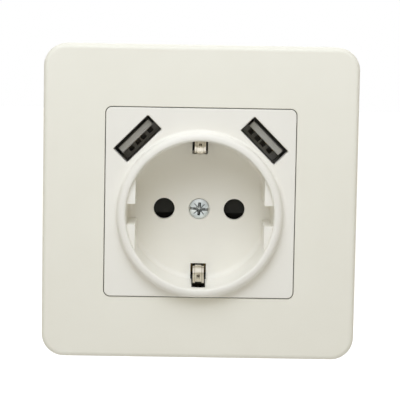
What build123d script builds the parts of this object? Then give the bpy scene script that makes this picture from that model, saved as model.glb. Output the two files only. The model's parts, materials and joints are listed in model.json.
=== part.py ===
"""Flush wall socket with a round plug recess and two USB ports, as separate pieces."""

import math
import os

from build123d import *

# Sizes are in millimetres. Pieces are drawn with x to the right, y up and z out of the wall
# towards the room, about the middle of the wall plane. Each is turned at the end, so that the
# files have +Z up and the front of the socket faces -Y.

# Outer frame
frame_size = 83.0
frame_corner = 6.0
frame_height = 9.0
frame_edge = 1.3
frame_wall = 2.0
frame_skin = 2.0
ledge_width = 1.0
ledge_thickness = 1.6
skirt_wall = 1.6
opening_corner = 1.7
opening_edge = 0.12
rib_thickness = 1.2
rib_place = 20.0

# Centre cover
cover_edge_margin = 1.65
seam_gap = 0.2
cover_thickness = 2.2
cover_proud = 0.3
cover_edge = 0.2

# Plug recess, with the standard 19 mm between two 4.8 mm pins
pin_spacing = 19.0
pin_diameter = 4.8
pin_length = 19.0
pin_hole_diameter = 5.7
recess_radius = 19.5
recess_depth = 17.3
recess_drop = 3.0
recess_wall = 1.5
recess_draft = 0.15
pin_end_room = 2.0
floor_thickness = 2.0
floor_round = 1.5
ring_height = 3.0
ring_width = 2.3
ring_round = 1.4
ring_foot = 0.8
lip_round = 0.7
guide_inset = 2.5
guide_drop = 1.2
guide_notch = 5.5
guide_edge = 0.5

# Screws of 2.9 mm, shared by the cover and the claws
screw_radius = 1.45
hole_clearance = 0.25
post_wall = 0.9
screw_head_radius = 2.7
screw_head_depth = 1.4
screw_dome = 0.6
screw_length = 14.0
screw_end_room = 2.0
screw_slot = 0.7
screw_slot_depth = 0.6
screw_cross = (3.6, 0.8)
screw_cross_depth = 1.7
screw_cross_taper = 10.0
screw_centre = 0.95
screw_mark = (1.95, 0.26)
screw_mark_depth = 0.5
screw_turn = -4.0

# Earth clips, set in from the wall of the recess
clip_width = 3.0
clip_metal = 0.7
clip_crest_inset = 4.1
clip_crest_rise = 2.2
clip_root_inset = 2.3
clip_end_outset = 0.2
clip_end_drop = 9.4
clip_brow_inset = 2.0
clip_brow_angle = 25.0
clip_bend = 1.6
clip_crest_bend = 0.9
clip_knee = 1.5
clip_rib_width = 1.7
clip_rib_height = 0.25
clip_dimple = (0.9, 2.0)
clip_dimple_depth = 0.5
clip_dimple_place = 0.38
clip_slot_width = 4.2
clip_slot_rise = 0.8
clip_slot_room = 0.5
wall_slot_width = 3.7
wall_slot_drop = 3.3
wall_slot_depth = 1.125
clip_foot = 6.0
strap_width = 6.0
strap_depth = 6.0
strap_eye_land = 2.1
strap_end = 2.0
strap_floor = 1.8
groove_room = 0.6
tongue_width = 4.0
tongue_grip = 4.0
tongue_room = 1.0

# USB ports, set at 45 degrees in the upper corners of the cover
usb_ring_gap = 1.1
usb_opening = (12.8, 5.2)
usb_opening_corner = 0.4
usb_flare = 0.3
usb_flare_angle = 30.0
usb_collar_wall = 1.0
usb_collar_depth = 2.0
usb_collar_corner = 1.2
usb_margin = 1.0
usb_inner = (12.5, 5.1)
usb_metal = 0.3
usb_corner = 0.5
usb_tongue = (11.1, 1.8)
usb_tongue_shift = 0.8
usb_tongue_depth = 3.1
usb_tongue_edge = 0.2
usb_tongue_root = 0.5
usb_wall_depth = 10.3
usb_wall_thickness = 5.2
usb_contact_places = (-3.5, -1.0, 1.0, 3.5)
usb_contact = (1.0, 0.25)
usb_contact_gap = 0.02
usb_contact_end = 0.8
usb_contact_rise = 0.6
usb_pocket = 1.5
usb_pocket_depth = 3.5
usb_pocket_shift = -0.9

# Support plate, with the standard 60 mm between box screws
plate_size = 71.0
plate_corner = 8.0
plate_thickness = 1.2
box_screw_spacing = 60.0
box_slot_width = 3.6
box_slot_length = 7.0
side_slot_length = 9.0

# Base in the wall
base_wall = 1.2
base_floor = 2.2
bay_half_height = 5.4
bay_inset = 0.6
chamber_depth = 3.6
rear_depth = 8.0
rear_wall = 1.5
rear_flange = 2.0
rear_edge = 1.0
rear_step_gap = 2.5
board_thickness = 1.6
hook_size = (2.4, 1.6)
hook_catch = 0.6
hook_rise = 1.2
hook_lip = 0.4
hook_root = 0.5
hook_inset = (4.3, 2.8)
housing_screw_radius = 1.05
housing_head_radius = 1.9
housing_head_height = 1.4
housing_slot = (0.5, 0.6)
housing_screw_grip = 8.0
housing_screw_inset = (5.8, 4.8)

# Terminals
terminal_inset = 8.5
terminal_size = 6.8
terminal_length = 9.0
terminal_bore = 1.7
terminal_land = 0.4
terminal_setback = 0.8
terminal_end_wall = 1.2
terminal_screw_radius = 1.45
terminal_head_radius = 2.0
terminal_head_height = 1.8
terminal_slot = (0.7, 0.8)
terminal_travel = 1.8
wire_hole_radius = 2.2

# Pin contacts
contact_metal = 0.8
contact_room = 7.8
contact_top_room = 0.8
contact_rear_room = 3.0
pin_passage = 0.6
contact_squeeze = 0.15
contact_mouth = 0.8
contact_slit = 2.4
contact_end = 1.6
contact_leg = 1.2
contact_root = 3.0
contact_tail_width = 4.4
contact_tail_end = 1.5
solder_pin = 1.0
solder_offset = 2.6
solder_rise = 0.7

# Shutter
shutter_thickness = 3.0
shutter_cover = 0.2
shutter_leg_width = 6.6
shutter_bridge = 2.4
shutter_ramp = 1.8
shutter_end_room = 1.2
shutter_side_room = 1.8
spring_length = 10.0
spring_radius = 1.25
spring_wire = 0.4
spring_turns = 4.0

# Spreading claws
claw_metal = 1.0
claw_offset = 0.5
claw_half_width = 5.0
claw_prong_width = 1.6
claw_tooth = (2.4, 4.2)
claw_web_drop = 2.2
claw_pivot_z = -2.8
claw_pin_radius = 1.0
claw_pin_length = 4.4
claw_pin_seat = 2.7
claw_ear_radius = 1.8
claw_swing = 18.0
claw_screw_offset = 3.7
claw_tab_reach = 6.3
claw_tab_level = -8.4
claw_rear = -17.6
claw_slot_gap = 0.45
claw_slot_rise = 2.4
claw_screw_length = 16.5
claw_head_radius = 2.6
claw_head_height = 2.2
claw_head_edge = 0.4
claw_head_slot = 1.1
nut_size = 5.5
nut_height = 1.8
nut_gap = 0.12

# Parts on the boards
header_pin = 0.6
header_inset = 2.1
header_places = (-3.81, -1.27, 1.27, 3.81)
transformer_width = 14.0
transformer_height = 13.0
transformer_place = 3.8
former_rise = 1.5
winding_rise = 8.0
winding_inset = 2.4
winding_corner = 1.5
core_rise = 9.0
core_width = 6.0
core_inset = 0.4
capacitor_radius = 3.1
capacitor_length = 9.0
capacitor_gap = 2.5
capacitor_place = 9.3
capacitor_edge = 0.4
chip_size = (5.0, 4.0)
chip_height = 1.3
chip_leg_places = (-1.9, -0.63, 0.63, 1.9)
chip_leg = 0.4
chip_span = 6.0

# Clearances between pieces
running_gap = 0.05
rest_gap = 0.1
loose_gap = 0.2
slide_gap = 0.3

# How far a cut runs past a face, and how far two solids that are joined run into each other
past = 1.0
lap = 0.1

# Levels that follow from the sizes above
cover_face = frame_height + cover_proud
cover_back = cover_face - cover_thickness
ledge_top = cover_back - rest_gap
ledge_bottom = ledge_top - ledge_thickness
crest = cover_face + ring_height
floor_front = crest - recess_depth
floor_back = floor_front - floor_thickness
base_face = floor_back - loose_gap
chamber_back = base_face - chamber_depth
sleeve_front = chamber_back - base_wall
pin_tip = floor_front - pin_length
base_back = pin_tip - pin_end_room
board_back = base_back - board_thickness
rear_back = base_back - rear_depth
strap_level = base_face - strap_depth
usb_front = cover_back - rest_gap
usb_wall = cover_face - usb_wall_depth
usb_tip = cover_face - usb_tongue_depth
usb_rear = usb_wall - usb_wall_thickness
usb_board_back = usb_rear - board_thickness

# Widths and places that follow from the sizes above
cover_corner = opening_corner - seam_gap
cup_radius = recess_radius + recess_wall
ring_radius = recess_radius + ring_width
guide_half_width = recess_radius - guide_inset
pin_place = pin_spacing / 2
post_radius = screw_radius + hole_clearance + post_wall
strap_eye_radius = post_radius + loose_gap + strap_eye_land
clip_crest = recess_radius - clip_crest_inset
clip_root = recess_radius - clip_root_inset
clip_brow = recess_radius - clip_brow_inset
clip_end = recess_radius + clip_end_outset
usb_outer = (usb_inner[0] + 2 * usb_metal, usb_inner[1] + 2 * usb_metal)
usb_along = usb_outer[0] / 2 * 0.5**0.5
usb_across = usb_outer[1] / 2 * 0.5**0.5
usb_place = (ring_radius + usb_ring_gap + usb_outer[1] / 2) * 0.5**0.5 - recess_drop / 2
usb_far = usb_place + usb_across + usb_along
usb_near = usb_place + usb_across - usb_along
usb_reach = (usb_outer[0] / 2 + usb_margin) * 2**0.5
cover_size = 2 * (usb_far + cover_edge_margin)
opening_size = cover_size + 2 * seam_gap
pocket_radius = math.hypot(usb_far, usb_near) + slide_gap
base_radius = pocket_radius + base_wall
base_half_height = recess_drop + cup_radius + slide_gap + base_floor
partition_radius = cup_radius + slide_gap + base_wall
bay_wall = cup_radius - bay_inset
shutter_low = -(pin_hole_diameter / 2 + shutter_cover)
shutter_top = shutter_bridge - shutter_low
shutter_travel = pin_diameter / 2 + rest_gap - shutter_low
chamber_low = shutter_low - shutter_end_room
chamber_high = shutter_top + spring_length
chamber_half_width = pin_place + shutter_leg_width / 2 + shutter_side_room
terminals = (-pin_place, 0.0, pin_place)
terminal_place = terminal_inset - base_half_height
block_top = terminal_place + terminal_size / 2 - terminal_land
block_low = block_top - terminal_size - terminal_land
block_back = base_back + terminal_setback
block_front = block_back + terminal_length
terminal_screw_z = (block_front + block_back) / 2
rear_step = block_top + rear_step_gap
header_y = base_half_height - base_wall - header_inset
hook_x = base_radius - hook_inset[0]
hook_y = bay_half_height + hook_inset[1]
housing_screw_x = base_radius - housing_screw_inset[0]
housing_screw_y = bay_half_height + housing_screw_inset[1]
claw_inner = cup_radius + claw_offset
claw_outer = claw_inner + claw_metal
claw_pivot_x = claw_inner + claw_ear_radius
claw_screw_x = claw_inner + claw_screw_offset
claw_tab_end = claw_inner + claw_tab_reach
claw_tab_start = claw_inner + claw_metal / 2
prong_inner = claw_half_width - claw_prong_width
claw_tab_drop = (claw_tab_end - claw_tab_start) * math.tan(math.radians(claw_swing))
claw_pin_end = bay_half_height + claw_pin_seat
rear_pocket_low = pin_diameter / 2 + contact_metal + contact_rear_room - recess_drop
solder_y = -pin_diameter / 2 - solder_offset


def block(size, corner, low, high):
    """Square block with rounded corners between two levels."""
    return Pos(0, 0, low) * extrude(RectangleRounded(size, size, corner), amount=high - low)


def box(x_low, x_high, y_low, y_high, z_low, z_high):
    """Plain block between limits."""
    middle = Pos((x_low + x_high) / 2, (y_low + y_high) / 2, (z_low + z_high) / 2)
    return middle * Box(x_high - x_low, y_high - y_low, z_high - z_low)


def rod(radius, low, high, x=0.0, y=0.0):
    """Round rod along z."""
    return Pos(x, y, (low + high) / 2) * Cylinder(radius, high - low)


def upright(radius, low, high, x, z):
    """Round rod along y."""
    return Pos(x, (low + high) / 2, z) * Rot(90, 0, 0) * Cylinder(radius, high - low)


def layer(outline, low, high):
    """Flat outline given a thickness between two levels."""
    return Pos(0, 0, low) * extrude(outline, amount=high - low)


def bent_strip(points, bends, metal, width):
    """Metal strip along points of (y, z), with a radius for each bend, centred on x = 0."""
    path = FilletPolyline(*points, radius=bends)
    return extrude(Plane.YZ * trace(path, metal), amount=width / 2, both=True)


def at_recess(piece):
    """Place a piece drawn about the axis of the plug recess."""
    return Pos(0, -recess_drop, 0) * piece


def at_port(side, piece):
    """Place a piece drawn about a port, with its local y towards the corner of the cover."""
    return Pos(side * usb_place, usb_place, 0) * Rot(0, 0, -45 * side) * piece


def base_outline():
    """Round outline of the base, flat above and below, with a bay for the claw on each side."""
    outline = Circle(base_radius) & Rectangle(2 * base_radius, 2 * base_half_height)
    bay = Rectangle(base_radius, 2 * bay_half_height)
    for side in (-1, 1):
        outline -= Pos(side * (bay_wall + base_radius / 2), 0) * bay
    return outline


def above_ports(reach):
    """Wedge of the outline above the lower ends of both ports."""
    far = 2 * base_radius
    return Polygon((0, -reach), (far, far - reach), (-far, far - reach), align=None)


def make_frame():
    """Outer frame, hollow behind, with the ledge that the cover holds down."""
    frame = block(frame_size, frame_corner, 0, frame_height)
    frame = fillet(frame.faces().sort_by(Axis.Z)[-1].edges(), frame_edge)
    hollow = block(frame_size - 2 * frame_wall, frame_corner - frame_wall, -past, frame_height - frame_skin)
    skirt_size = opening_size + 2 * skirt_wall
    hollow -= block(skirt_size, opening_corner + skirt_wall, ledge_bottom, frame_height)
    frame -= hollow
    inside = (skirt_size - skirt_wall) / 2
    outside = (frame_size - frame_wall) / 2
    rib = box(
        -rib_thickness / 2,
        rib_thickness / 2,
        inside,
        outside,
        plate_thickness + rest_gap,
        frame_height - frame_skin / 2,
    )
    for quarter in range(4):
        for place in (-rib_place, rib_place):
            frame += Rot(0, 0, 90 * quarter) * Pos(place, 0, 0) * rib
    frame -= block(opening_size - 2 * ledge_width, opening_corner, -past, frame_height + past)
    opening = block(opening_size, opening_corner, ledge_top, frame_height + past)
    frame -= opening
    rim = [
        edge
        for edge in frame.edges()
        if abs(edge.center().Z - frame_height) < running_gap
        and max(abs(edge.center().X), abs(edge.center().Y)) < opening_size / 2 + rest_gap
    ]
    return chamfer(rim, opening_edge)


def make_recess():
    """Recess turned about its axis: floor, wall and the rounded ring in front of the cover."""
    foot_x = ring_radius + ring_foot
    floor_radius = recess_radius - recess_draft
    lower = Polyline(
        (0, floor_front),
        (0, floor_back),
        (cup_radius, floor_back),
        (cup_radius, cover_back),
        (foot_x, cover_back),
        (foot_x, cover_face),
    )
    foot = CenterArc((foot_x, cover_face + ring_foot), ring_foot, 270, -90)
    side = Line((ring_radius, cover_face + ring_foot), (ring_radius, crest - ring_round))
    shoulder = CenterArc((ring_radius - ring_round, crest - ring_round), ring_round, 0, 90)
    top = Line((ring_radius - ring_round, crest), (recess_radius + lip_round, crest))
    lip = CenterArc((recess_radius + lip_round, crest - lip_round), lip_round, 90, 90)
    wall = Line((recess_radius, crest - lip_round), (floor_radius, floor_front + floor_round))
    corner = CenterArc((floor_radius - floor_round, floor_front + floor_round), floor_round, 0, -90)
    floor = Line((floor_radius - floor_round, floor_front), (0, floor_front))
    outline = make_face(lower + foot + side + shoulder + top + lip + wall + corner + floor)
    return at_recess(revolve(Plane.XZ * outline, axis=Axis.Z))


def make_guides():
    """Flat side guides in the recess, parted by a notch on each side."""
    outline = Circle(recess_radius + recess_wall / 2)
    outline -= Rectangle(2 * guide_half_width, 4 * recess_radius)
    outline -= Rectangle(4 * recess_radius, guide_notch)
    guides = []
    for piece in layer(outline, floor_front - floor_thickness / 2, crest - guide_drop).solids():
        front = piece.faces().sort_by(Axis.Z)[-1]
        guides.append(at_recess(fillet(front.edges().filter_by(GeomType.LINE), guide_edge)))
    return guides


def make_cover():
    """Centre cover in one moulding, with the recess, both port openings and the earth slots."""
    cover = block(cover_size, cover_corner, cover_back, cover_face)
    cover = fillet(cover.faces().sort_by(Axis.Z)[-1].edges(), cover_edge)
    cover -= at_recess(rod(recess_radius + recess_wall / 2, floor_back, crest))
    outline = block(cover_size, cover_corner, floor_back, crest)
    cover += make_recess() & outline
    for guide in make_guides():
        cover += guide
    for side in (-1, 1):
        hole = rod(pin_hole_diameter / 2, floor_back - past, floor_front + past, side * pin_place)
        cover -= at_recess(hole)
    cover -= at_recess(rod(screw_radius + hole_clearance, floor_back - past, floor_front + past))
    seat_radius = screw_head_radius + hole_clearance
    seat = Cone(screw_radius + hole_clearance, seat_radius, screw_head_depth)
    cover -= at_recess(Pos(0, 0, floor_front - screw_head_depth / 2) * seat)
    for way in (-1, 1):
        turn = Rot(0, 0, 0 if way > 0 else 180)
        half = clip_slot_width / 2
        under = floor_back - past
        near = clip_crest - clip_slot_room
        slot = box(-half, half, near, cup_radius + past, under, floor_front + clip_slot_rise)
        half = wall_slot_width / 2
        slot += box(-half, half, clip_root, cup_radius + past, under, cover_back - slide_gap)
        deep = recess_radius + wall_slot_depth
        slot += box(-half, half, clip_root, deep, under, crest - wall_slot_drop)
        cover -= at_recess(turn * slot)
    for side in (-1, 1):
        shape = RectangleRounded(usb_opening[0], usb_opening[1], usb_opening_corner)
        port = layer(shape, cover_back - past, cover_face + past)
        flare = extrude(shape, amount=usb_flare + loose_gap, taper=-usb_flare_angle)
        cover -= at_port(side, port + Pos(0, 0, cover_face - usb_flare) * flare)
        wide, high = (size + 2 * loose_gap for size in usb_outer)
        inner = RectangleRounded(wide, high, usb_corner + rest_gap)
        wall = 2 * usb_collar_wall
        outer = RectangleRounded(wide + wall, high + wall, usb_collar_corner)
        end = cover_back - usb_collar_depth
        collar = at_port(side, layer(outer - inner, end, cover_back))
        free = opening_size - 2 * ledge_width - 2 * slide_gap
        inside = block(free, opening_corner - ledge_width + slide_gap, end - past, cover_back)
        cover += collar & inside
        cover -= at_port(side, layer(inner, end - past, cover_back))
    return cover


def make_cover_screw():
    """Countersunk screw with a raised head, a slot, a cross recess and four short marks."""
    top = floor_front - rest_gap
    head = Pos(0, 0, top - screw_head_depth / 2) * Cone(screw_radius, screw_head_radius, screw_head_depth)
    ball = (screw_head_radius**2 + screw_dome**2) / (2 * screw_dome)
    dome = Pos(0, 0, top + screw_dome - ball) * Sphere(ball)
    dome &= rod(screw_head_radius, top, top + screw_dome)
    low = top - screw_length
    screw = head + dome + rod(screw_radius, low, top - screw_head_depth + lap)
    reach = screw_head_radius + past
    peak = top + screw_dome
    slot = box(-reach, reach, -screw_slot / 2, screw_slot / 2, top - screw_slot_depth, peak + past)
    arm = Pos(0, 0, peak) * Rectangle(screw_cross[0], screw_cross[1])
    arm = extrude(arm, amount=-screw_cross_depth, taper=screw_cross_taper)
    centre = Cone(screw_centre / 3, screw_centre, screw_cross_depth)
    recess = slot + arm + Rot(0, 0, 90) * arm + Pos(0, 0, peak - screw_cross_depth / 2) * centre
    long, wide = screw_mark
    mark = box(-long, long, -wide / 2, wide / 2, peak - screw_mark_depth, peak + past)
    recess += Rot(0, 0, 45) * mark + Rot(0, 0, -45) * mark
    screw -= Rot(0, 0, screw_turn) * recess
    return at_recess(screw)


def make_plate():
    """Stamped support plate with the box screw slots and the opening for the base."""
    outline = RectangleRounded(plate_size, plate_size, plate_corner)
    outline -= Pos(0, -recess_drop) * Circle(cup_radius + 2 * slide_gap)
    upper = usb_far + 3 * slide_gap
    lower = usb_near - slide_gap
    inner_x = usb_place - usb_across + usb_along - slide_gap
    inner_y = usb_place - usb_across - usb_along - 4 * slide_gap
    window = Polygon(
        (upper, lower),
        (lower, upper),
        (-lower, upper),
        (-upper, lower),
        (-inner_x, inner_y),
        (inner_x, inner_y),
        align=None,
    )
    outline -= window
    for way in (-1, 1):
        outline -= Pos(0, way * box_screw_spacing / 2) * SlotOverall(box_slot_length, box_slot_width, 90)
        outline -= Pos(way * box_screw_spacing / 2, 0) * SlotOverall(side_slot_length, box_slot_width, 90)
        outline -= Pos(way * claw_screw_x, 0) * Circle(screw_radius + hole_clearance)
        for side in (-1, 1):
            window = Rectangle(hook_size[0] + slide_gap, hook_size[1] + slide_gap)
            outline -= Pos(side * hook_x, way * hook_y) * window
    return layer(outline, 0, plate_thickness)


def rear_room():
    """Outline of the room for the power board, between the claw bays."""
    room = Circle(base_radius - rear_wall)
    high = base_half_height - rear_wall
    low = rear_step + rear_wall
    room &= Pos(0, (high + low) / 2) * Rectangle(2 * (bay_wall - rear_wall), high - low)
    return room


def make_hook():
    """Hook of the base that snaps over the edge of a window in the plate."""
    wide = hook_size[0] / 2
    deep = hook_size[1] / 2
    high = plate_thickness + hook_rise
    stem = box(-wide, wide, -deep, deep, -hook_root, high)
    nose = Polygon(
        (0, plate_thickness + rest_gap),
        (deep + hook_catch, plate_thickness + rest_gap),
        (deep + hook_catch, plate_thickness + hook_lip),
        (deep, high),
        (0, high),
        align=None,
    )
    return stem + extrude(Plane.YZ * nose, amount=wide, both=True)


def make_base():
    """Base that carries the contacts, the shutter, the boards and the claws."""
    base = layer(base_outline(), base_back, 0)
    base -= at_recess(rod(cup_radius + slide_gap, base_face, past))
    chamber = box(
        -chamber_half_width,
        chamber_half_width,
        chamber_low,
        chamber_high,
        chamber_back,
        base_face + lap,
    )
    post = rod(post_radius, chamber_back - lap, base_face)
    base -= at_recess(chamber)
    base += at_recess(post)
    half = strap_width / 2 + slide_gap
    groove_end = clip_root + clip_metal + groove_room
    groove_floor = strap_level - clip_metal / 2 - running_gap
    groove = box(-half, half, -groove_end, groove_end, groove_floor, base_face + lap)
    groove += rod(strap_eye_radius + slide_gap, groove_floor, chamber_back + lap)
    groove -= rod(post_radius, groove_floor - past, base_face)
    base -= at_recess(groove)
    end = floor_front - screw_length - screw_end_room
    base -= at_recess(rod(screw_radius + rest_gap, end, base_face + past))
    for side in (-1, 1):
        low = side * pin_place - contact_room / 2
        high = pin_diameter / 2 + contact_metal + contact_top_room - recess_drop
        base -= box(low, low + contact_room, block_low - loose_gap, high, base_back - past, sleeve_front)
        passage = rod(pin_diameter / 2 + pin_passage, base_back, chamber_back + past, side * pin_place)
        base -= at_recess(passage)
    half = terminal_size / 2 + loose_gap
    high = block_top + tongue_room
    base -= box(-half, half, block_low - loose_gap, high, base_back - past, strap_level)
    for x in terminals:
        base -= upright(terminal_head_radius + slide_gap, -base_radius, block_low, x, terminal_screw_z)
    arch = Circle(pocket_radius) - Pos(0, -recess_drop) * Circle(partition_radius)
    inside = Rectangle(2 * base_radius, 2 * (base_half_height - base_wall))
    arch &= above_ports(usb_reach)
    base -= layer(arch & inside, base_back - past, past)
    for side in (-1, 1):
        room = Rectangle(usb_outer[0] + 2 * slide_gap, usb_outer[1] + 2 * slide_gap)
        base -= at_port(side, layer(room, usb_board_back, past))
    rear = Circle(pocket_radius) & above_ports(usb_reach)
    rear &= Pos(0, rear_pocket_low + base_radius) * Rectangle(2 * base_radius, 2 * base_radius)
    base -= layer(rear & inside, base_back - past, strap_level - strap_floor)
    for side in (-1, 1):
        for way in (-1, 1):
            turn = Rot(0, 0, 0 if way > 0 else 180)
            hole = upright(claw_pin_radius + running_gap, 0, claw_pin_end + rest_gap, 0, claw_pivot_z)
            base -= Pos(side * claw_pivot_x, 0, 0) * turn * hole
            end = base_back + housing_screw_grip + past
            hole = rod(housing_screw_radius + running_gap, base_back - past, end)
            base -= Pos(side * housing_screw_x, way * housing_screw_y, 0) * hole
            base += Pos(side * hook_x, way * hook_y, 0) * turn * make_hook()
    return base


def make_rear_cover():
    """Cover behind the base, stepped clear of the terminals."""
    cover = layer(base_outline(), base_back - rear_flange, base_back)
    high = base_half_height
    dome = Circle(base_radius) & Pos(0, (high + rear_step) / 2) * Rectangle(2 * bay_wall, high - rear_step)
    dome = layer(dome, rear_back, base_back)
    dome = fillet(dome.faces().sort_by(Axis.Z)[0].edges(), rear_edge)
    cover += dome
    cover -= layer(rear_room(), rear_back + rear_wall, base_back + past)
    for x in terminals:
        cover -= rod(wire_hole_radius, rear_back, base_back + past, x, terminal_place)
    for side in (-1, 1):
        for way in (-1, 1):
            hole = rod(housing_screw_radius + loose_gap, rear_back, base_back + past)
            cover -= Pos(side * housing_screw_x, way * housing_screw_y, 0) * hole
    return cover


def make_housing_screws():
    """Four pan head screws that hold the rear cover."""
    screws = []
    seat = base_back - rear_flange
    face = seat - housing_head_height
    reach = housing_head_radius + lap
    half = housing_slot[0] / 2
    for side in (-1, 1):
        for way in (-1, 1):
            screw = rod(housing_screw_radius, seat - lap, base_back + housing_screw_grip)
            screw += rod(housing_head_radius, face, seat)
            screw -= box(-reach, reach, -half, half, face - lap, face + housing_slot[1])
            screws.append(Pos(side * housing_screw_x, way * housing_screw_y, 0) * screw)
    return screws


def make_contact(side):
    """Rolled pin sleeve with a bent tail to its terminal and a pin to the power board."""
    inner = pin_diameter / 2 - contact_squeeze
    outer = inner + contact_metal
    front = sleeve_front - slide_gap
    back = pin_tip + contact_end
    sleeve = rod(outer, back, front) - rod(inner, back - past, front + past)
    mouth = Cone(inner, outer - loose_gap, contact_mouth)
    sleeve -= Pos(0, 0, front - contact_mouth / 2) * mouth
    half = contact_slit / 2
    sleeve -= box(-half, half, 0, outer + past, back - past, front + past)
    middle = -(inner + outer) / 2
    leg = back - contact_leg
    foot = block_top + contact_metal / 2 + recess_drop
    end = block_front - contact_tail_end
    points = ((middle, back + contact_root), (middle, leg), (foot, leg), (foot, end))
    tail = bent_strip(points, contact_metal + rest_gap, contact_metal, contact_tail_width)
    half = solder_pin / 2
    solder = box(-half, half, solder_y - half, solder_y + half, board_back - solder_rise, leg)
    return Pos(side * pin_place, -recess_drop, 0) * (sleeve + tail + solder)


def make_earth_strap():
    """Stamped earth strap with a sprung clip at each end and a tongue to its terminal."""
    under = strap_level - clip_metal / 2
    over = strap_level + clip_metal / 2
    reach = clip_root - strap_end
    strap = box(-strap_width / 2, strap_width / 2, -reach, reach, under, over)
    strap += rod(strap_eye_radius, under, over)
    end_level = crest - clip_end_drop
    crest_level = floor_front + clip_crest_rise
    brow_level = crest_level + (clip_brow - clip_crest) * math.tan(math.radians(clip_brow_angle))
    path = (
        (clip_end, end_level),
        (clip_brow, brow_level),
        (clip_crest, crest_level),
        (clip_root, floor_front - clip_knee),
        (clip_root, strap_level),
        (clip_root - clip_foot, strap_level),
    )
    bends = (clip_bend, clip_crest_bend, clip_bend, clip_bend)
    arm = bent_strip(path, bends, clip_metal, clip_width)
    arm += bent_strip(path[:4], bends[:2], clip_metal + 2 * clip_rib_height, clip_rib_width)
    middle_y = clip_brow + clip_dimple_place * (clip_end - clip_brow)
    middle_z = brow_level + clip_dimple_place * (end_level - brow_level)
    lean = math.degrees(math.atan2(clip_end - clip_brow, end_level - brow_level))
    place = Pos(0, middle_y, middle_z) * Rot(-lean, 0, 0)
    wide, long = clip_dimple[0] / 2, clip_dimple[1] / 2
    face = -clip_metal / 2 - clip_rib_height
    arm -= place * box(-wide, wide, face - past, face + clip_dimple_depth, -long, long)
    strap += arm + Rot(0, 0, 180) * arm
    strap -= rod(post_radius + loose_gap, under - past, over + past)
    tongue = block_top + recess_drop
    half = tongue_width / 2
    strap += box(-half, half, tongue, tongue + clip_metal, block_front - tongue_grip, strap_level)
    return at_recess(strap)


def make_terminal_blocks():
    """Three brass terminal blocks, each with a wire bore and a screw hole."""
    blocks = []
    for x in terminals:
        half = terminal_size / 2
        piece = box(x - half, x + half, block_low, block_top, block_back, block_front)
        piece -= rod(terminal_bore, block_back - past, block_front - terminal_end_wall, x, terminal_place)
        hole = terminal_screw_radius + running_gap
        piece -= upright(hole, block_low - past, terminal_place, x, terminal_screw_z)
        blocks.append(piece)
    return blocks


def make_terminal_screw(x):
    """Terminal screw, open far enough to take a wire."""
    tip = terminal_place - terminal_bore - loose_gap
    head = block_low - rest_gap - terminal_travel
    low = head - terminal_head_height
    screw = upright(terminal_screw_radius, head - lap, tip, x, terminal_screw_z)
    screw += upright(terminal_head_radius, low, head, x, terminal_screw_z)
    reach = terminal_head_radius + past
    half = terminal_slot[0] / 2
    slot = box(-reach, reach, low - past, low + terminal_slot[1], -half, half)
    return screw - Pos(x, 0, terminal_screw_z) * slot


def make_shutter():
    """Black slider that closes both pin holes and is pushed up by the pins."""
    front = base_face - slide_gap
    back = front - shutter_thickness
    reach = pin_place + shutter_leg_width / 2
    shutter = box(-reach, reach, shutter_top - shutter_bridge, shutter_top, back, front)
    for side in (-1, 1):
        middle = side * pin_place
        half = shutter_leg_width / 2
        leg = box(middle - half, middle + half, shutter_low, shutter_top, back, front)
        toe = leg.edges().filter_by(Axis.X).sort_by(lambda edge: edge.center().Y - edge.center().Z)[0]
        shutter += chamfer(toe, shutter_ramp)
    return at_recess(shutter)


def make_shutter_springs():
    """Two coil springs of square wire, between the shutter and the top of its chamber."""
    coil = spring_length - spring_wire
    path = Helix(pitch=coil / spring_turns, height=coil, radius=spring_radius)
    section = Plane(path @ 0, z_dir=path % 0) * Rectangle(spring_wire, spring_wire)
    spring = sweep(section, path=path, is_frenet=True)
    level = base_face - slide_gap - shutter_thickness / 2
    springs = []
    for side in (-1, 1):
        place = Pos(side * pin_place, shutter_top + spring_wire / 2, level)
        springs.append(at_recess(place * Rot(-90, 0, 0) * spring))
    return springs


def make_claw():
    """Right claw: ears on the pin, a slotted tab for the screw and two toothed prongs."""
    gap_top = claw_tab_level - slide_gap
    web_top = claw_pivot_z - claw_web_drop
    claw = box(claw_inner, claw_outer, -claw_half_width, claw_half_width, claw_rear, web_top)
    ear = Pos(claw_pivot_x, claw_pivot_z) * Circle(claw_ear_radius)
    stem = Rectangle(2 * claw_ear_radius, 2 * claw_ear_radius)
    ear += Pos(claw_pivot_x, claw_pivot_z - claw_ear_radius) * stem
    for way in (-1, 1):
        place = way * (claw_half_width - claw_metal / 2)
        claw += Pos(0, place, 0) * extrude(Plane.XZ * ear, amount=claw_metal / 2, both=True)
        tooth = Polygon(
            (claw_inner, claw_rear),
            (claw_inner + claw_tooth[0], claw_rear),
            (claw_inner + claw_tooth[1], claw_rear + claw_metal / 2),
            (claw_inner + claw_tooth[0], claw_rear + claw_metal),
            (claw_inner, claw_rear + claw_metal),
            align=None,
        )
        place = way * (prong_inner + claw_prong_width / 2)
        claw += Pos(0, place, 0) * extrude(Plane.XZ * tooth, amount=claw_prong_width / 2, both=True)
    claw -= box(claw_inner - past, claw_outer + past, -prong_inner, prong_inner, claw_rear - past, gap_top)
    tab = Polyline((claw_tab_start, claw_tab_level), (claw_tab_end, claw_tab_level - claw_tab_drop))
    claw += extrude(Plane.XZ * trace(tab, claw_metal), amount=prong_inner - loose_gap, both=True)
    slot = screw_radius + claw_slot_gap
    slot_top = claw_tab_level + claw_slot_rise
    claw -= box(claw_inner - past, claw_screw_x + slot, -slot, slot, claw_rear - past, slot_top)
    pin = claw_pin_radius + running_gap
    claw -= upright(pin, -claw_half_width - past, claw_half_width + past, claw_pivot_x, claw_pivot_z)
    return claw


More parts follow.
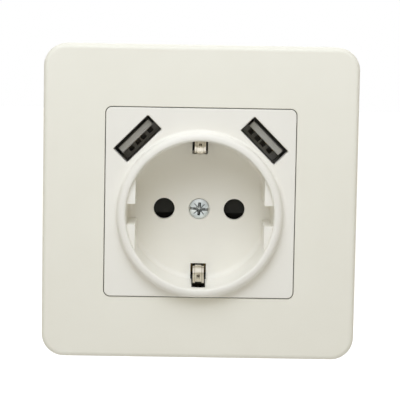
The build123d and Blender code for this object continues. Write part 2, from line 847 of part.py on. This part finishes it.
def make_claw_pins():
    """Four short pins that carry the ears of both claws."""
    pins = []
    for side in (-1, 1):
        for way in (-1, 1):
            pin = upright(claw_pin_radius, claw_pin_end - claw_pin_length, claw_pin_end, 0, claw_pivot_z)
            turn = Rot(0, 0, 0 if way > 0 else 180)
            pins.append(Pos(side * claw_pivot_x, 0, 0) * turn * pin)
    return pins


def make_claw_screw():
    """Right claw screw, with its slotted head in front of the plate."""
    top = plate_thickness + claw_head_height
    screw = rod(screw_radius, plate_thickness - claw_screw_length, plate_thickness + lap)
    head = rod(claw_head_radius, plate_thickness, top)
    screw += chamfer(head.faces().sort_by(Axis.Z)[-1].edges(), claw_head_edge)
    reach = claw_head_radius + past
    screw -= box(-reach, reach, -screw_slot / 2, screw_slot / 2, top - claw_head_slot, top + past)
    return Pos(claw_screw_x, 0, 0) * screw


def make_claw_nut():
    """Right claw nut, behind the tab of the claw."""
    front = claw_tab_level - claw_tab_drop - claw_metal / 2 - nut_gap
    nut = Pos(0, 0, front - nut_height / 2) * Box(nut_size, nut_size, nut_height)
    nut -= rod(screw_radius + running_gap, front - nut_height - past, front + past)
    return Pos(claw_screw_x, 0, 0) * nut


def make_usb_shell(side):
    """Metal sleeve of a port, between its board and the back of the cover."""
    shape = RectangleRounded(usb_outer[0], usb_outer[1], usb_corner)
    shape -= RectangleRounded(usb_inner[0], usb_inner[1], usb_corner - loose_gap)
    return at_port(side, layer(shape, usb_rear, usb_front))


def contact_bars(grow, low, high):
    """Bars for the four contacts of a port, grown by a clearance on each side."""
    face = usb_tongue_shift - usb_tongue[1] / 2
    half = usb_contact[0] / 2 + grow
    under = face - grow - running_gap
    over = face + usb_contact[1] + grow - running_gap
    bars = []
    for place in usb_contact_places:
        bars.append(box(place - half, place + half, under, over, low, high))
    return bars


def make_usb_insulator(side):
    """Plastic core of a port: back wall with four pockets, and the tongue."""
    wide, high = (size - loose_gap for size in usb_inner)
    core = layer(Rectangle(wide, high), usb_rear, usb_wall)
    tongue = Rectangle(usb_tongue[0], usb_tongue[1])
    tongue = Pos(0, usb_tongue_shift, 0) * layer(tongue, usb_wall - usb_tongue_root, usb_tip)
    core += chamfer(tongue.faces().sort_by(Axis.Z)[-1].edges(), usb_tongue_edge)
    end = usb_tip - usb_contact_end + usb_contact_gap
    for bar in contact_bars(usb_contact_gap, usb_rear - past, end):
        core -= bar
    for place in usb_contact_places:
        pocket = Rectangle(usb_pocket, usb_pocket)
        pocket = layer(pocket, usb_wall - usb_pocket_depth, usb_wall + past)
        core -= Pos(place, usb_pocket_shift, 0) * pocket
    return at_port(side, core)


def make_usb_contacts(side):
    """Four contact strips of a port, through the board behind it."""
    low = usb_board_back - usb_contact_rise
    return [at_port(side, bar) for bar in contact_bars(0, low, usb_tip - usb_contact_end)]


def make_usb_board():
    """Arched board that carries both ports."""
    outline = Circle(pocket_radius - slide_gap)
    outline -= Pos(0, -recess_drop) * Circle(partition_radius + slide_gap)
    outline &= above_ports(usb_reach - slide_gap)
    inside = Rectangle(2 * base_radius, 2 * (base_half_height - base_wall - slide_gap))
    board = layer(outline & inside, usb_board_back, usb_rear)
    for side in (-1, 1):
        for bar in contact_bars(rest_gap, usb_board_back - past, usb_rear + past):
            board -= at_port(side, bar)
    for x in header_places:
        hole = Rectangle(header_pin + loose_gap, header_pin + loose_gap)
        board -= Pos(x, header_y, 0) * layer(hole, usb_board_back - past, usb_rear + past)
    return board


def make_power_board():
    """Power board behind the base."""
    room = offset(rear_room(), -slide_gap)
    board = layer(room, board_back, base_back)
    for side in (-1, 1):
        hole = Rectangle(solder_pin + loose_gap, solder_pin + loose_gap)
        place = Pos(side * pin_place, solder_y - recess_drop, 0)
        board -= place * layer(hole, board_back - past, base_back + past)
    for x in header_places:
        hole = Rectangle(header_pin + loose_gap, header_pin + loose_gap)
        board -= Pos(x, header_y, 0) * layer(hole, board_back - past, base_back + past)
    return board


def make_transformer():
    """Small transformer on the power board: coil former, winding and core."""
    former_back = base_back + former_rise
    place = Pos(0, rear_pocket_low + transformer_place + transformer_height / 2, 0)
    former = layer(Rectangle(transformer_width, transformer_height), base_back, former_back)
    wide = transformer_width - 2 * winding_inset
    coil = RectangleRounded(wide, transformer_height - 2 * core_inset, winding_corner)
    winding = layer(coil, former_back, base_back + winding_rise)
    yoke = Rectangle(transformer_width - 2 * core_inset, core_width)
    core = layer(yoke, former_back, base_back + core_rise)
    return place * (former + winding + core)


def make_capacitors():
    """Two upright capacitors on the power board."""
    cans = []
    for side in (-1, 1):
        x = side * (transformer_width / 2 + capacitor_radius + capacitor_gap)
        top = base_back + capacitor_length
        can = rod(capacitor_radius, base_back, top, x, rear_pocket_low + capacitor_place)
        cans.append(chamfer(can.faces().sort_by(Axis.Z)[-1].edges(), capacitor_edge))
    return cans


def make_chip():
    """Controller chip on the rear of the power board."""
    under = board_back - rest_gap
    chip = layer(Rectangle(*chip_size), under - chip_height, under)
    for x in chip_leg_places:
        leg = Rectangle(chip_leg, chip_span)
        chip += Pos(x, 0, 0) * layer(leg, board_back - chip_leg, board_back)
    return chip


def make_header_pins():
    """Pins that join both boards."""
    pins = []
    for x in header_places:
        pin = layer(Rectangle(header_pin, header_pin), board_back - header_pin, usb_rear + header_pin)
        pins.append(Pos(x, header_y, 0) * pin)
    return pins


def other_side(piece):
    """The same piece on the left."""
    return mirror(piece, about=Plane.YZ)


pieces = {
    "cover_frame": make_frame(),
    "socket_cover": make_cover(),
    "cover_screw": make_cover_screw(),
    "support_plate": make_plate(),
    "base_housing": make_base(),
    "rear_cover": make_rear_cover(),
    "housing_screws": make_housing_screws(),
    "line_contact": make_contact(-1),
    "neutral_contact": make_contact(1),
    "earth_strap": make_earth_strap(),
    "terminal_blocks": make_terminal_blocks(),
    "terminal_screw_line": make_terminal_screw(terminals[0]),
    "terminal_screw_earth": make_terminal_screw(terminals[1]),
    "terminal_screw_neutral": make_terminal_screw(terminals[2]),
    "shutter": make_shutter(),
    "shutter_springs": make_shutter_springs(),
    "claw_right": make_claw(),
    "claw_left": other_side(make_claw()),
    "claw_pins": make_claw_pins(),
    "claw_screw_right": make_claw_screw(),
    "claw_screw_left": other_side(make_claw_screw()),
    "claw_nut_right": make_claw_nut(),
    "claw_nut_left": other_side(make_claw_nut()),
    "usb_shell_left": make_usb_shell(-1),
    "usb_shell_right": make_usb_shell(1),
    "usb_insulator_left": make_usb_insulator(-1),
    "usb_insulator_right": make_usb_insulator(1),
    "usb_contacts_left": make_usb_contacts(-1),
    "usb_contacts_right": make_usb_contacts(1),
    "usb_board": make_usb_board(),
    "power_board": make_power_board(),
    "usb_transformer": make_transformer(),
    "filter_capacitors": make_capacitors(),
    "controller_chip": make_chip(),
    "header_pins": make_header_pins(),
}

os.makedirs("parts", exist_ok=True)
for name, piece in pieces.items():
    group = piece if isinstance(piece, list) else [piece]
    stood = Compound([solid for part in group for solid in (Rot(90, 0, 0) * part).solids()])
    export_step(stood, f"parts/{name}.step")
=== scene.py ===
"""Looks of a flush wall socket with a round plug recess and two USB ports."""

import json
import math

import bmesh
import bpy
from mathutils import Matrix, Vector


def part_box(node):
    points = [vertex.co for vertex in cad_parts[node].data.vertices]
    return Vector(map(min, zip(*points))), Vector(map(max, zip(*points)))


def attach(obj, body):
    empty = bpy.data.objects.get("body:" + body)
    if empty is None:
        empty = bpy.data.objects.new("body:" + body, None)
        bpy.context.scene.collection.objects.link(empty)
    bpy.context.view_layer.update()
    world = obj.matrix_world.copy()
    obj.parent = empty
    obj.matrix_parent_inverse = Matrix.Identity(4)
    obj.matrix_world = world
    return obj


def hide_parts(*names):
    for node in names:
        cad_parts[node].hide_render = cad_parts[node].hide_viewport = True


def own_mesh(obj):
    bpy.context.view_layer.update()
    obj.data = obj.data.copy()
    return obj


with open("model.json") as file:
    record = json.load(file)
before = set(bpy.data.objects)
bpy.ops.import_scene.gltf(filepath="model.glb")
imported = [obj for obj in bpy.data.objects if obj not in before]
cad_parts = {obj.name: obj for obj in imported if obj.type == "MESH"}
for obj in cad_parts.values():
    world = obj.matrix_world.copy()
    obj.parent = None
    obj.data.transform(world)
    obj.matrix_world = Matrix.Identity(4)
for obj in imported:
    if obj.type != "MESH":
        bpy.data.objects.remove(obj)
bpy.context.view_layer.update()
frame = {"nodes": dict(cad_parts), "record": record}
nodes = frame["nodes"]
scene = bpy.context.scene

# Camera, fitted to the photograph of 400 by 400 pixels, with the focal length and the centre in pixels
IMAGE = 400
FOCAL = 1897.7
OPTICAL_CENTRE = (199.54, 199.69)
CAMERA_DISTANCE = 0.5095
CAMERA_UP = math.radians(5.825)
CAMERA_LEFT = math.radians(0.688)
CAMERA_ROLL = math.radians(1.012)
SENSOR = 36.0
NEAR_CLIP = 0.01

# Lamps, each with its azimuth and elevation in degrees, distance, size and power
LAMPS = (
    ("left_lamp", -14.0, 44.0, 0.4, 0.29, 0.61),
    ("top_lamp", 4.0, 54.0, 0.4, 0.29, 0.60),
    ("rear_lamp", 165.0, 35.0, 0.6, 0.5, 1.6),
)
LAMP_COLOUR = (0.96, 1.02, 1.14)

# Light from all round
ROOM_COLOUR = (1.0, 0.88, 0.62)
ROOM_STRENGTH = 0.28

# Colour sockets of a mix node, which share their names with its other sockets
MIX_FIRST = 6
MIX_SECOND = 7
MIX_RESULT = 2

# Dust with painted shade in corners, and painted shade in tight gaps, with how open a place is where they
# are full and where they end
CORNER_RANGE = (0.35, 0.95)
GAP_SHADE_RANGE = (0.08, 0.42)
PAINTED_SHADE_TONE = (0.018, 0.015, 0.010)
GAP_SHADE_SHARE = 0.85
OPENNESS_SAMPLES = 8

# Moulded plastic, with scales in cells to the metre
CLOUD_SCALE = 70.0
SHEEN_SCALE = 900.0
SHEEN_SPREAD = (-0.05, 0.06)
GRAIN_DEPTH = 0.00006
# Reach and share of the dust with painted shade that darkens corners
DUST_AND_SHADE_REACH = 0.0012
DUST_AND_SHADE_SHARE = 0.55

# Plated metal, with the scale in cells to the metre
TINT_SCALE = 350.0
LINE_SPREAD = (-0.05, 0.08)
LINE_DEPTH = 0.00003
# Reach and share of the painted shade that darkens corners of metal
CORNER_SHADE_REACH = 0.0008
CORNER_SHADE_SHARE = 0.8

# Levels along y between which the cut ends of the clips darken to painted shade
CLIP_END_SHADE = (-0.00265, -0.00245)

# Floor, with the glow that lifts it to white away from the shadow
FLOOR_LEVEL = -0.14
FLOOR_SIZE = 6.0
FLOOR_TONES = ((0.80, 0.80, 0.80), (0.84, 0.84, 0.84))
FLOOR_CLOUD_SCALE = 3.0
FLOOR_ROUGHNESS = 0.9
GLOW_NEAR = 0.47
GLOW_FAR = 0.85
GLOW_RANGE = (0.3, 0.6)

# Shutter springs of round wire
SPRING_PLACE = 0.0095
SPRING_RADIUS = 0.00125
SPRING_TURNS = 6.0
SPRING_END_TURNS = 0.75
WIRE_RADIUS = 0.0002
WIRE_SIDES = 8
STEPS_PER_TURN = 28

# Threads of the claw screws
THREAD_RADIUS = 0.00145
THREAD_PITCH = 0.0005
THREAD_DEPTH = 0.00027
THREAD_SLOPE = 1.6
THREAD_FLAT = 0.3
THREAD_SIDES = 28
STEPS_PER_PITCH = 8
TIP_LENGTH = 0.0008
TIP_SHARE = 0.55

# Underside of the head of a claw screw along y, and how far the thread starts inside the head
HEAD_SEAT = -0.0012
HEAD_LAP = 0.0002
SEAT_MARGIN = 0.00005


class Graph:
    """Node tree of one material, with short calls for the nodes that are used here."""

    def __init__(self, name):
        self.material = bpy.data.materials.new(name)
        self.material.use_nodes = True
        self.tree = self.material.node_tree
        self.shader = self.tree.nodes["Principled BSDF"]
        self.place = self.tree.nodes.new("ShaderNodeTexCoord").outputs["Object"]

    def add(self, kind, **values):
        """New node, with its own settings."""
        node = self.tree.nodes.new(kind)
        for key, value in values.items():
            setattr(node, key, value)
        return node

    def join(self, output, socket):
        """Link from an output to an input."""
        self.tree.links.new(output, socket)

    def stretched(self, scale):
        """Object coordinates, scaled apart along the three axes."""
        node = self.add("ShaderNodeMapping")
        node.inputs["Scale"].default_value = scale
        self.join(self.place, node.inputs["Vector"])
        return node.outputs["Vector"]

    def noise(self, scale, detail=3.0, roughness=0.55, place=None):
        """Noise from 0 to 1, with the scale in cells to the metre."""
        node = self.add("ShaderNodeTexNoise")
        node.inputs["Scale"].default_value = scale
        node.inputs["Detail"].default_value = detail
        node.inputs["Roughness"].default_value = roughness
        self.join(place or self.place, node.inputs["Vector"])
        return node.outputs["Fac"]

    def spread(self, value, low, high, start=0.3, end=0.7):
        """A value carried from its own range to another."""
        node = self.add("ShaderNodeMapRange")
        node.inputs["From Min"].default_value = start
        node.inputs["From Max"].default_value = end
        node.inputs["To Min"].default_value = low
        node.inputs["To Max"].default_value = high
        self.join(value, node.inputs["Value"])
        return node.outputs["Result"]

    def blend(self, share, first, second):
        """Colour between two colours or sockets."""
        node = self.add("ShaderNodeMix", data_type="RGBA")
        self.join(share, node.inputs["Factor"])
        for value, number in ((first, MIX_FIRST), (second, MIX_SECOND)):
            socket = node.inputs[number]
            if isinstance(value, tuple):
                socket.default_value = (*value, 1.0)
            else:
                self.join(value, socket)
        return node.outputs[MIX_RESULT]

    def openness(self, distance):
        """1 in the open, about a half in an inner corner and 0 deep in a narrow gap."""
        node = self.add("ShaderNodeAmbientOcclusion", samples=OPENNESS_SAMPLES)
        node.inputs["Distance"].default_value = distance
        return node.outputs["AO"]

    def along(self, axis):
        """Place along one of the axes of the object, in metres."""
        node = self.add("ShaderNodeSeparateXYZ")
        self.join(self.place, node.inputs["Vector"])
        return node.outputs[axis]

    def colour(self, output):
        """Colour of the surface."""
        self.join(output, self.shader.inputs["Base Color"])

    def rough(self, output):
        """Roughness of the surface."""
        self.join(output, self.shader.inputs["Roughness"])

    def bump(self, height, strength, distance):
        """Relief of the surface."""
        node = self.add("ShaderNodeBump")
        node.inputs["Strength"].default_value = strength
        node.inputs["Distance"].default_value = distance
        self.join(height, node.inputs["Height"])
        self.join(node.outputs["Normal"], self.shader.inputs["Normal"])

    def set(self, name, value):
        """Value that is the same all over the surface."""
        self.shader.inputs[name].default_value = value


def moulded(name, pale, deep, dust_and_shade_tone, roughness, grain, strength, shine=0.5):
    """Moulded plastic with a faint cloud of tone, fine grain, a little dust with painted shade in its
    corners and painted shade in its tight gaps.
    """
    graph = Graph(name)
    graph.set("Specular IOR Level", shine)
    cloud = graph.spread(graph.noise(CLOUD_SCALE, detail=4.0), 0.0, 1.0)
    tone = graph.blend(cloud, pale, deep)
    openness = graph.openness(DUST_AND_SHADE_REACH)
    # Corners get dust with painted shade, darker where the place is less open
    dust_and_shade = graph.spread(openness, DUST_AND_SHADE_SHARE, 0.0, *CORNER_RANGE)
    # Tight gaps are filled with a near-black painted shade
    gap_shade = graph.spread(openness, GAP_SHADE_SHARE, 0.0, *GAP_SHADE_RANGE)
    graph.colour(graph.blend(gap_shade, graph.blend(dust_and_shade, tone, dust_and_shade_tone), PAINTED_SHADE_TONE))
    sheen = graph.noise(SHEEN_SCALE, detail=2.0)
    graph.rough(graph.spread(sheen, roughness + SHEEN_SPREAD[0], roughness + SHEEN_SPREAD[1]))
    graph.bump(graph.noise(grain, detail=4.0, roughness=0.6), strength, GRAIN_DEPTH)
    return graph.material


def plated(name, cool, warm, corner_shade_tone, roughness, lines, relief=0.08, shaded_end=None):
    """Plated metal with drawn lines, a shift of tint, painted shade in its corners and perhaps a painted
    shade over its cut end.
    """
    graph = Graph(name)
    graph.set("Metallic", 1.0)
    tint = graph.spread(graph.noise(TINT_SCALE), 0.0, 1.0)
    tone = graph.blend(tint, cool, warm)
    # Painted shade darkens the corners and slots of the metal
    dust_and_shade = graph.spread(graph.openness(CORNER_SHADE_REACH), CORNER_SHADE_SHARE, 0.0, *CORNER_RANGE)
    tone = graph.blend(dust_and_shade, tone, corner_shade_tone)
    if shaded_end:
        # Painted shade over the cut end of a clip, which sits deep in its slot
        end_shade = graph.spread(graph.along("Y"), 1.0, 0.0, *shaded_end)
        tone = graph.blend(end_shade, tone, PAINTED_SHADE_TONE)
    graph.colour(tone)
    drawn = graph.noise(1.0, detail=4.0, roughness=0.7, place=graph.stretched(lines))
    graph.rough(graph.spread(drawn, roughness + LINE_SPREAD[0], roughness + LINE_SPREAD[1]))
    graph.bump(drawn, relief, LINE_DEPTH)
    return graph.material


# Each plastic below has a colour for the dust with painted shade in its corners
white = moulded(
    "white_plastic",
    pale=(0.950, 0.931, 0.858),
    deep=(0.935, 0.914, 0.838),
    dust_and_shade_tone=(0.80, 0.77, 0.68),
    roughness=0.34,
    grain=2600.0,
    strength=0.10,
)
cream = moulded(
    "white_plastic_frame",
    pale=(0.943, 0.924, 0.820),
    deep=(0.928, 0.907, 0.800),
    dust_and_shade_tone=(0.80, 0.77, 0.68),
    roughness=0.34,
    grain=2600.0,
    strength=0.10,
)
dark_base = moulded(
    "base_plastic",
    pale=(0.085, 0.085, 0.088),
    deep=(0.070, 0.070, 0.072),
    dust_and_shade_tone=(0.05, 0.048, 0.044),
    roughness=0.5,
    grain=1800.0,
    strength=0.25,
)
black = moulded(
    "black_plastic",
    pale=(0.026, 0.026, 0.022),
    deep=(0.021, 0.021, 0.018),
    dust_and_shade_tone=(0.016, 0.016, 0.014),
    roughness=0.6,
    grain=2400.0,
    strength=0.2,
    shine=0.2,
)
grey_core = moulded(
    "grey_plastic",
    pale=(0.48, 0.475, 0.44),
    deep=(0.42, 0.415, 0.38),
    dust_and_shade_tone=(0.05, 0.046, 0.038),
    roughness=0.5,
    grain=2400.0,
    strength=0.2,
    shine=0.4,
)
dark = moulded(
    "dark_plastic",
    pale=(0.035, 0.035, 0.037),
    deep=(0.026, 0.026, 0.027),
    dust_and_shade_tone=(0.06, 0.058, 0.05),
    roughness=0.5,
    grain=2400.0,
    strength=0.25,
)
sleeve = moulded(
    "can_sleeve",
    pale=(0.035, 0.045, 0.085),
    deep=(0.028, 0.036, 0.07),
    dust_and_shade_tone=(0.05, 0.05, 0.05),
    roughness=0.3,
    grain=2400.0,
    strength=0.08,
)
laminate = moulded(
    "board_laminate",
    pale=(0.045, 0.20, 0.085),
    deep=(0.035, 0.16, 0.07),
    dust_and_shade_tone=(0.06, 0.09, 0.05),
    roughness=0.38,
    grain=3200.0,
    strength=0.2,
)
# Each metal below has a colour for the painted shade in its corners
zinc = plated(
    "zinc_steel",
    cool=(0.46, 0.50, 0.50),
    warm=(0.74, 0.77, 0.75),
    corner_shade_tone=(0.02, 0.02, 0.02),
    roughness=0.22,
    lines=(300.0, 2600.0, 300.0),
)
nickel = plated(
    "nickel_strip",
    cool=(0.84, 0.79, 0.69),
    warm=(0.72, 0.67, 0.57),
    corner_shade_tone=(0.10, 0.085, 0.06),
    roughness=0.28,
    lines=(2500.0, 200.0, 200.0),
    relief=0.2,
    # The cut end of the strip is painted in shade
    shaded_end=CLIP_END_SHADE,
)
brass = plated(
    "contact_brass",
    cool=(0.71, 0.53, 0.26),
    warm=(0.60, 0.42, 0.19),
    corner_shade_tone=(0.20, 0.13, 0.06),
    roughness=0.30,
    lines=(2600.0, 400.0, 400.0),
)
spring_wire = plated(
    "spring_steel",
    cool=(0.48, 0.48, 0.48),
    warm=(0.42, 0.41, 0.40),
    corner_shade_tone=(0.14, 0.13, 0.12),
    roughness=0.32,
    lines=(1500.0, 1500.0, 1500.0),
)
shell_steel = plated(
    "shell_steel",
    cool=(0.56, 0.56, 0.55),
    warm=(0.50, 0.50, 0.48),
    corner_shade_tone=(0.18, 0.17, 0.16),
    roughness=0.30,
    lines=(600.0, 2600.0, 600.0),
)
finishes = {
    "white_plastic": white,
    "base_plastic": dark_base,
    "black_plastic": black,
    "grey_plastic": grey_core,
    "dark_plastic": dark,
    "can_sleeve": sleeve,
    "board_laminate": laminate,
    "zinc_steel": zinc,
    "nickel_strip": nickel,
    "contact_brass": brass,
    "spring_steel": spring_wire,
    "shell_steel": shell_steel,
}

# The frame is a little creamier than the cover in the photograph
own_finishes = {"cover_frame": cream}


def dress_nodes():
    """Give each CAD node the finish of its slot."""
    for part in frame["record"]["subparts"]:
        piece = nodes[part["node"]]
        piece.data.materials.clear()
        slot = part["material_slot"]
        piece.data.materials.append(own_finishes.get(part["node"], finishes[slot]))


def new_piece(name, mesh, slot, body):
    """Link a mesh as a piece that rides on a body, in the finish of a slot."""
    piece = bpy.data.objects.new(name, mesh)
    scene.collection.objects.link(piece)
    mesh.materials.clear()
    mesh.materials.append(finishes[slot])
    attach(piece, body)
    return piece


def skin(mesh, rings):
    """Add rings of points to a mesh, joined in order, with the ends closed."""
    rows = [[mesh.verts.new(point) for point in ring] for ring in rings]
    count = len(rows[0])
    for near, far in zip(rows, rows[1:]):
        for i in range(count):
            j = (i + 1) % count
            mesh.faces.new((near[i], near[j], far[j], far[i]))
    mesh.faces.new(list(reversed(rows[0])))
    mesh.faces.new(rows[-1])


def coil_spring(low, high, x, y):
    """Rings of round wire wound from one closed end to the other along z."""
    steps = int(SPRING_TURNS * STEPS_PER_TURN)
    wire = 2 * WIRE_RADIUS
    rings = []
    for step in range(steps + 1):
        turn = SPRING_TURNS * step / steps
        rise = min(max((turn - SPRING_END_TURNS) / (SPRING_TURNS - 2 * SPRING_END_TURNS), 0.0), 1.0)
        angle = 2 * math.pi * turn
        out = Vector((math.cos(angle), math.sin(angle), 0.0))
        base = min(turn / SPRING_END_TURNS, 1.0) * wire
        tail = max(1.0 - (SPRING_TURNS - turn) / SPRING_END_TURNS, 0.0) * wire
        level = low + WIRE_RADIUS + base + rise * (high - low - 3 * wire) + tail
        centre = Vector((x, y, level)) + out * SPRING_RADIUS
        ring = []
        for k in range(WIRE_SIDES):
            spin = 2 * math.pi * k / WIRE_SIDES
            side = out * math.cos(spin) + Vector((0.0, 0.0, math.sin(spin)))
            ring.append(centre + side * WIRE_RADIUS)
        rings.append(ring)
    return rings


def add_springs():
    """Shutter springs of round wire, built at rest, which the shutter presses together as it rises."""
    low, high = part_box("shutter_springs")
    mesh = bmesh.new()
    y = (low[1] + high[1]) / 2
    for side in (-1, 1):
        skin(mesh, coil_spring(low[2], high[2], side * SPRING_PLACE, y))
    mesh.normal_update()
    data = bpy.data.meshes.new("shutter_coils")
    mesh.to_mesh(data)
    mesh.free()
    data.shade_smooth()
    coils = new_piece("shutter_coils", data, "spring_steel", "socket")
    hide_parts("shutter_springs")
    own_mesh(coils)


def thread_rings(x, start, end):
    """Rings of a threaded shank along y, with a fine groove and a tapered end."""
    steps = int((end - start) / THREAD_PITCH * STEPS_PER_PITCH)
    rings = []
    for step in range(steps + 1):
        y = start + (end - start) * step / steps
        limit = min(1.0, TIP_SHARE + (1.0 - TIP_SHARE) * (end - y) / TIP_LENGTH)
        ring = []
        for k in range(THREAD_SIDES):
            angle = 2 * math.pi * k / THREAD_SIDES
            wave = abs(((y / THREAD_PITCH - k / THREAD_SIDES) % 1.0) * 2 - 1)
            cut = THREAD_DEPTH * min(max(THREAD_SLOPE * wave - THREAD_FLAT, 0.0), 1.0)
            radius = min(THREAD_RADIUS - cut, THREAD_RADIUS * limit)
            ring.append((x + radius * math.cos(angle), y, radius * math.sin(angle)))
        rings.append(ring)
    return rings


def add_claw_screws():
    """Claw screws with the head of the CAD piece and a cut thread behind it."""
    for name in ("claw_screw_left", "claw_screw_right"):
        low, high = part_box(name)
        mesh = bmesh.new()
        mesh.from_mesh(nodes[name].data)
        shank = [v for v in mesh.verts if v.co.y > HEAD_SEAT + SEAT_MARGIN]
        bmesh.ops.delete(mesh, geom=shank, context="VERTS")
        skin(mesh, thread_rings((low[0] + high[0]) / 2, HEAD_SEAT - HEAD_LAP, high[1]))
        data = bpy.data.meshes.new(name + "_thread")
        mesh.to_mesh(data)
        mesh.free()
        screw = new_piece(name + "_thread", data, "zinc_steel", name)
        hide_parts(name)


def seen_rays(tree):
    """1 for camera, glossy and transmission rays, and 0 for the rest."""
    rays = tree.nodes.new("ShaderNodeLightPath")
    value = rays.outputs["Is Camera Ray"]
    for name in ("Is Glossy Ray", "Is Transmission Ray"):
        larger = tree.nodes.new("ShaderNodeMath")
        larger.operation = "MAXIMUM"
        tree.links.new(value, larger.inputs[0])
        tree.links.new(rays.outputs[name], larger.inputs[1])
        value = larger.outputs["Value"]
    return value


def light_world():
    """Soft light from all round, with a white background behind the object."""
    world = bpy.data.worlds.new("studio")
    scene.world = world
    world.use_nodes = True
    tree = world.node_tree
    soft = tree.nodes["Background"]
    soft.inputs["Color"].default_value = (*ROOM_COLOUR, 1.0)
    soft.inputs["Strength"].default_value = ROOM_STRENGTH
    plain = tree.nodes.new("ShaderNodeBackground")
    plain.inputs["Color"].default_value = (1.0, 1.0, 1.0, 1.0)
    plain.inputs["Strength"].default_value = 1.0
    mixed = tree.nodes.new("ShaderNodeMixShader")
    tree.links.new(seen_rays(tree), mixed.inputs["Fac"])
    tree.links.new(soft.outputs["Background"], mixed.inputs[1])
    tree.links.new(plain.outputs["Background"], mixed.inputs[2])
    tree.links.new(mixed.outputs["Shader"], tree.nodes["World Output"].inputs["Surface"])


def add_lamp(name, azimuth, elevation, distance, size, power):
    """Square soft lamp that faces the object from an angle in degrees, with 0 in front.

    It stays out of mirror reflections, so that metal shows only the white surroundings.
    """
    side = math.radians(azimuth)
    rise = math.radians(elevation)
    flat = distance * math.cos(rise)
    place = Vector((flat * math.sin(side), -flat * math.cos(side), distance * math.sin(rise)))
    lamp = bpy.data.lights.new(name, "AREA")
    lamp.shape = "SQUARE"
    lamp.size = size
    lamp.energy = power
    lamp.color = LAMP_COLOUR
    holder = bpy.data.objects.new(name, lamp)
    holder.location = place
    holder.rotation_euler = (-place).to_track_quat("-Z", "Y").to_euler()
    holder.visible_camera = False
    holder.visible_glossy = False
    scene.collection.objects.link(holder)


def add_floor():
    """Pale floor well below the object, white to the camera where no shadow falls."""
    mesh = bpy.data.meshes.new("floor")
    half = FLOOR_SIZE / 2
    flat = ((-half, -half), (half, -half), (half, half), (-half, half))
    corners = [(x, y, FLOOR_LEVEL) for x, y in flat]
    mesh.from_pydata(corners, [], [(0, 1, 2, 3)])
    floor = bpy.data.objects.new("floor", mesh)
    scene.collection.objects.link(floor)
    graph = Graph("pale_floor")
    graph.colour(graph.blend(graph.noise(FLOOR_CLOUD_SCALE), *FLOOR_TONES))
    graph.set("Roughness", FLOOR_ROUGHNESS)
    away = graph.add("ShaderNodeVectorMath", operation="LENGTH")
    graph.join(graph.place, away.inputs[0])
    glow = graph.add("ShaderNodeEmission")
    lift = graph.spread(away.outputs["Value"], GLOW_NEAR, GLOW_FAR, *GLOW_RANGE)
    graph.join(lift, glow.inputs["Strength"])
    veil = graph.add("ShaderNodeAddShader")
    graph.join(graph.shader.outputs["BSDF"], veil.inputs[0])
    graph.join(glow.outputs["Emission"], veil.inputs[1])
    mixed = graph.add("ShaderNodeMixShader")
    graph.join(seen_rays(graph.tree), mixed.inputs["Fac"])
    graph.join(graph.shader.outputs["BSDF"], mixed.inputs[1])
    graph.join(veil.outputs["Shader"], mixed.inputs[2])
    graph.join(mixed.outputs["Shader"], graph.tree.nodes["Material Output"].inputs["Surface"])
    mesh.materials.append(graph.material)


def add_camera():
    """Camera at the place and with the tilt of the photograph."""
    away = Vector((
        -math.sin(CAMERA_LEFT) * math.cos(CAMERA_UP),
        -math.cos(CAMERA_LEFT) * math.cos(CAMERA_UP),
        math.sin(CAMERA_UP),
    ))
    right = (-away).cross(Vector((0.0, 0.0, 1.0))).normalized()
    up = right.cross(-away)
    turned_right = right * math.cos(CAMERA_ROLL) + up * math.sin(CAMERA_ROLL)
    turned_up = up * math.cos(CAMERA_ROLL) - right * math.sin(CAMERA_ROLL)
    lens = bpy.data.cameras.new("camera")
    lens.sensor_width = SENSOR
    lens.lens = FOCAL / IMAGE * SENSOR
    lens.shift_x = 0.5 - OPTICAL_CENTRE[0] / IMAGE
    lens.shift_y = OPTICAL_CENTRE[1] / IMAGE - 0.5
    lens.clip_start = NEAR_CLIP
    camera = bpy.data.objects.new("camera", lens)
    turn = Matrix((turned_right, turned_up, away)).transposed().to_4x4()
    camera.matrix_world = Matrix.Translation(away * CAMERA_DISTANCE) @ turn
    scene.collection.objects.link(camera)
    scene.camera = camera


dress_nodes()
add_springs()
add_claw_screws()
light_world()
for lamp in LAMPS:
    add_lamp(*lamp)
add_floor()
add_camera()
scene.view_settings.view_transform = "Standard"
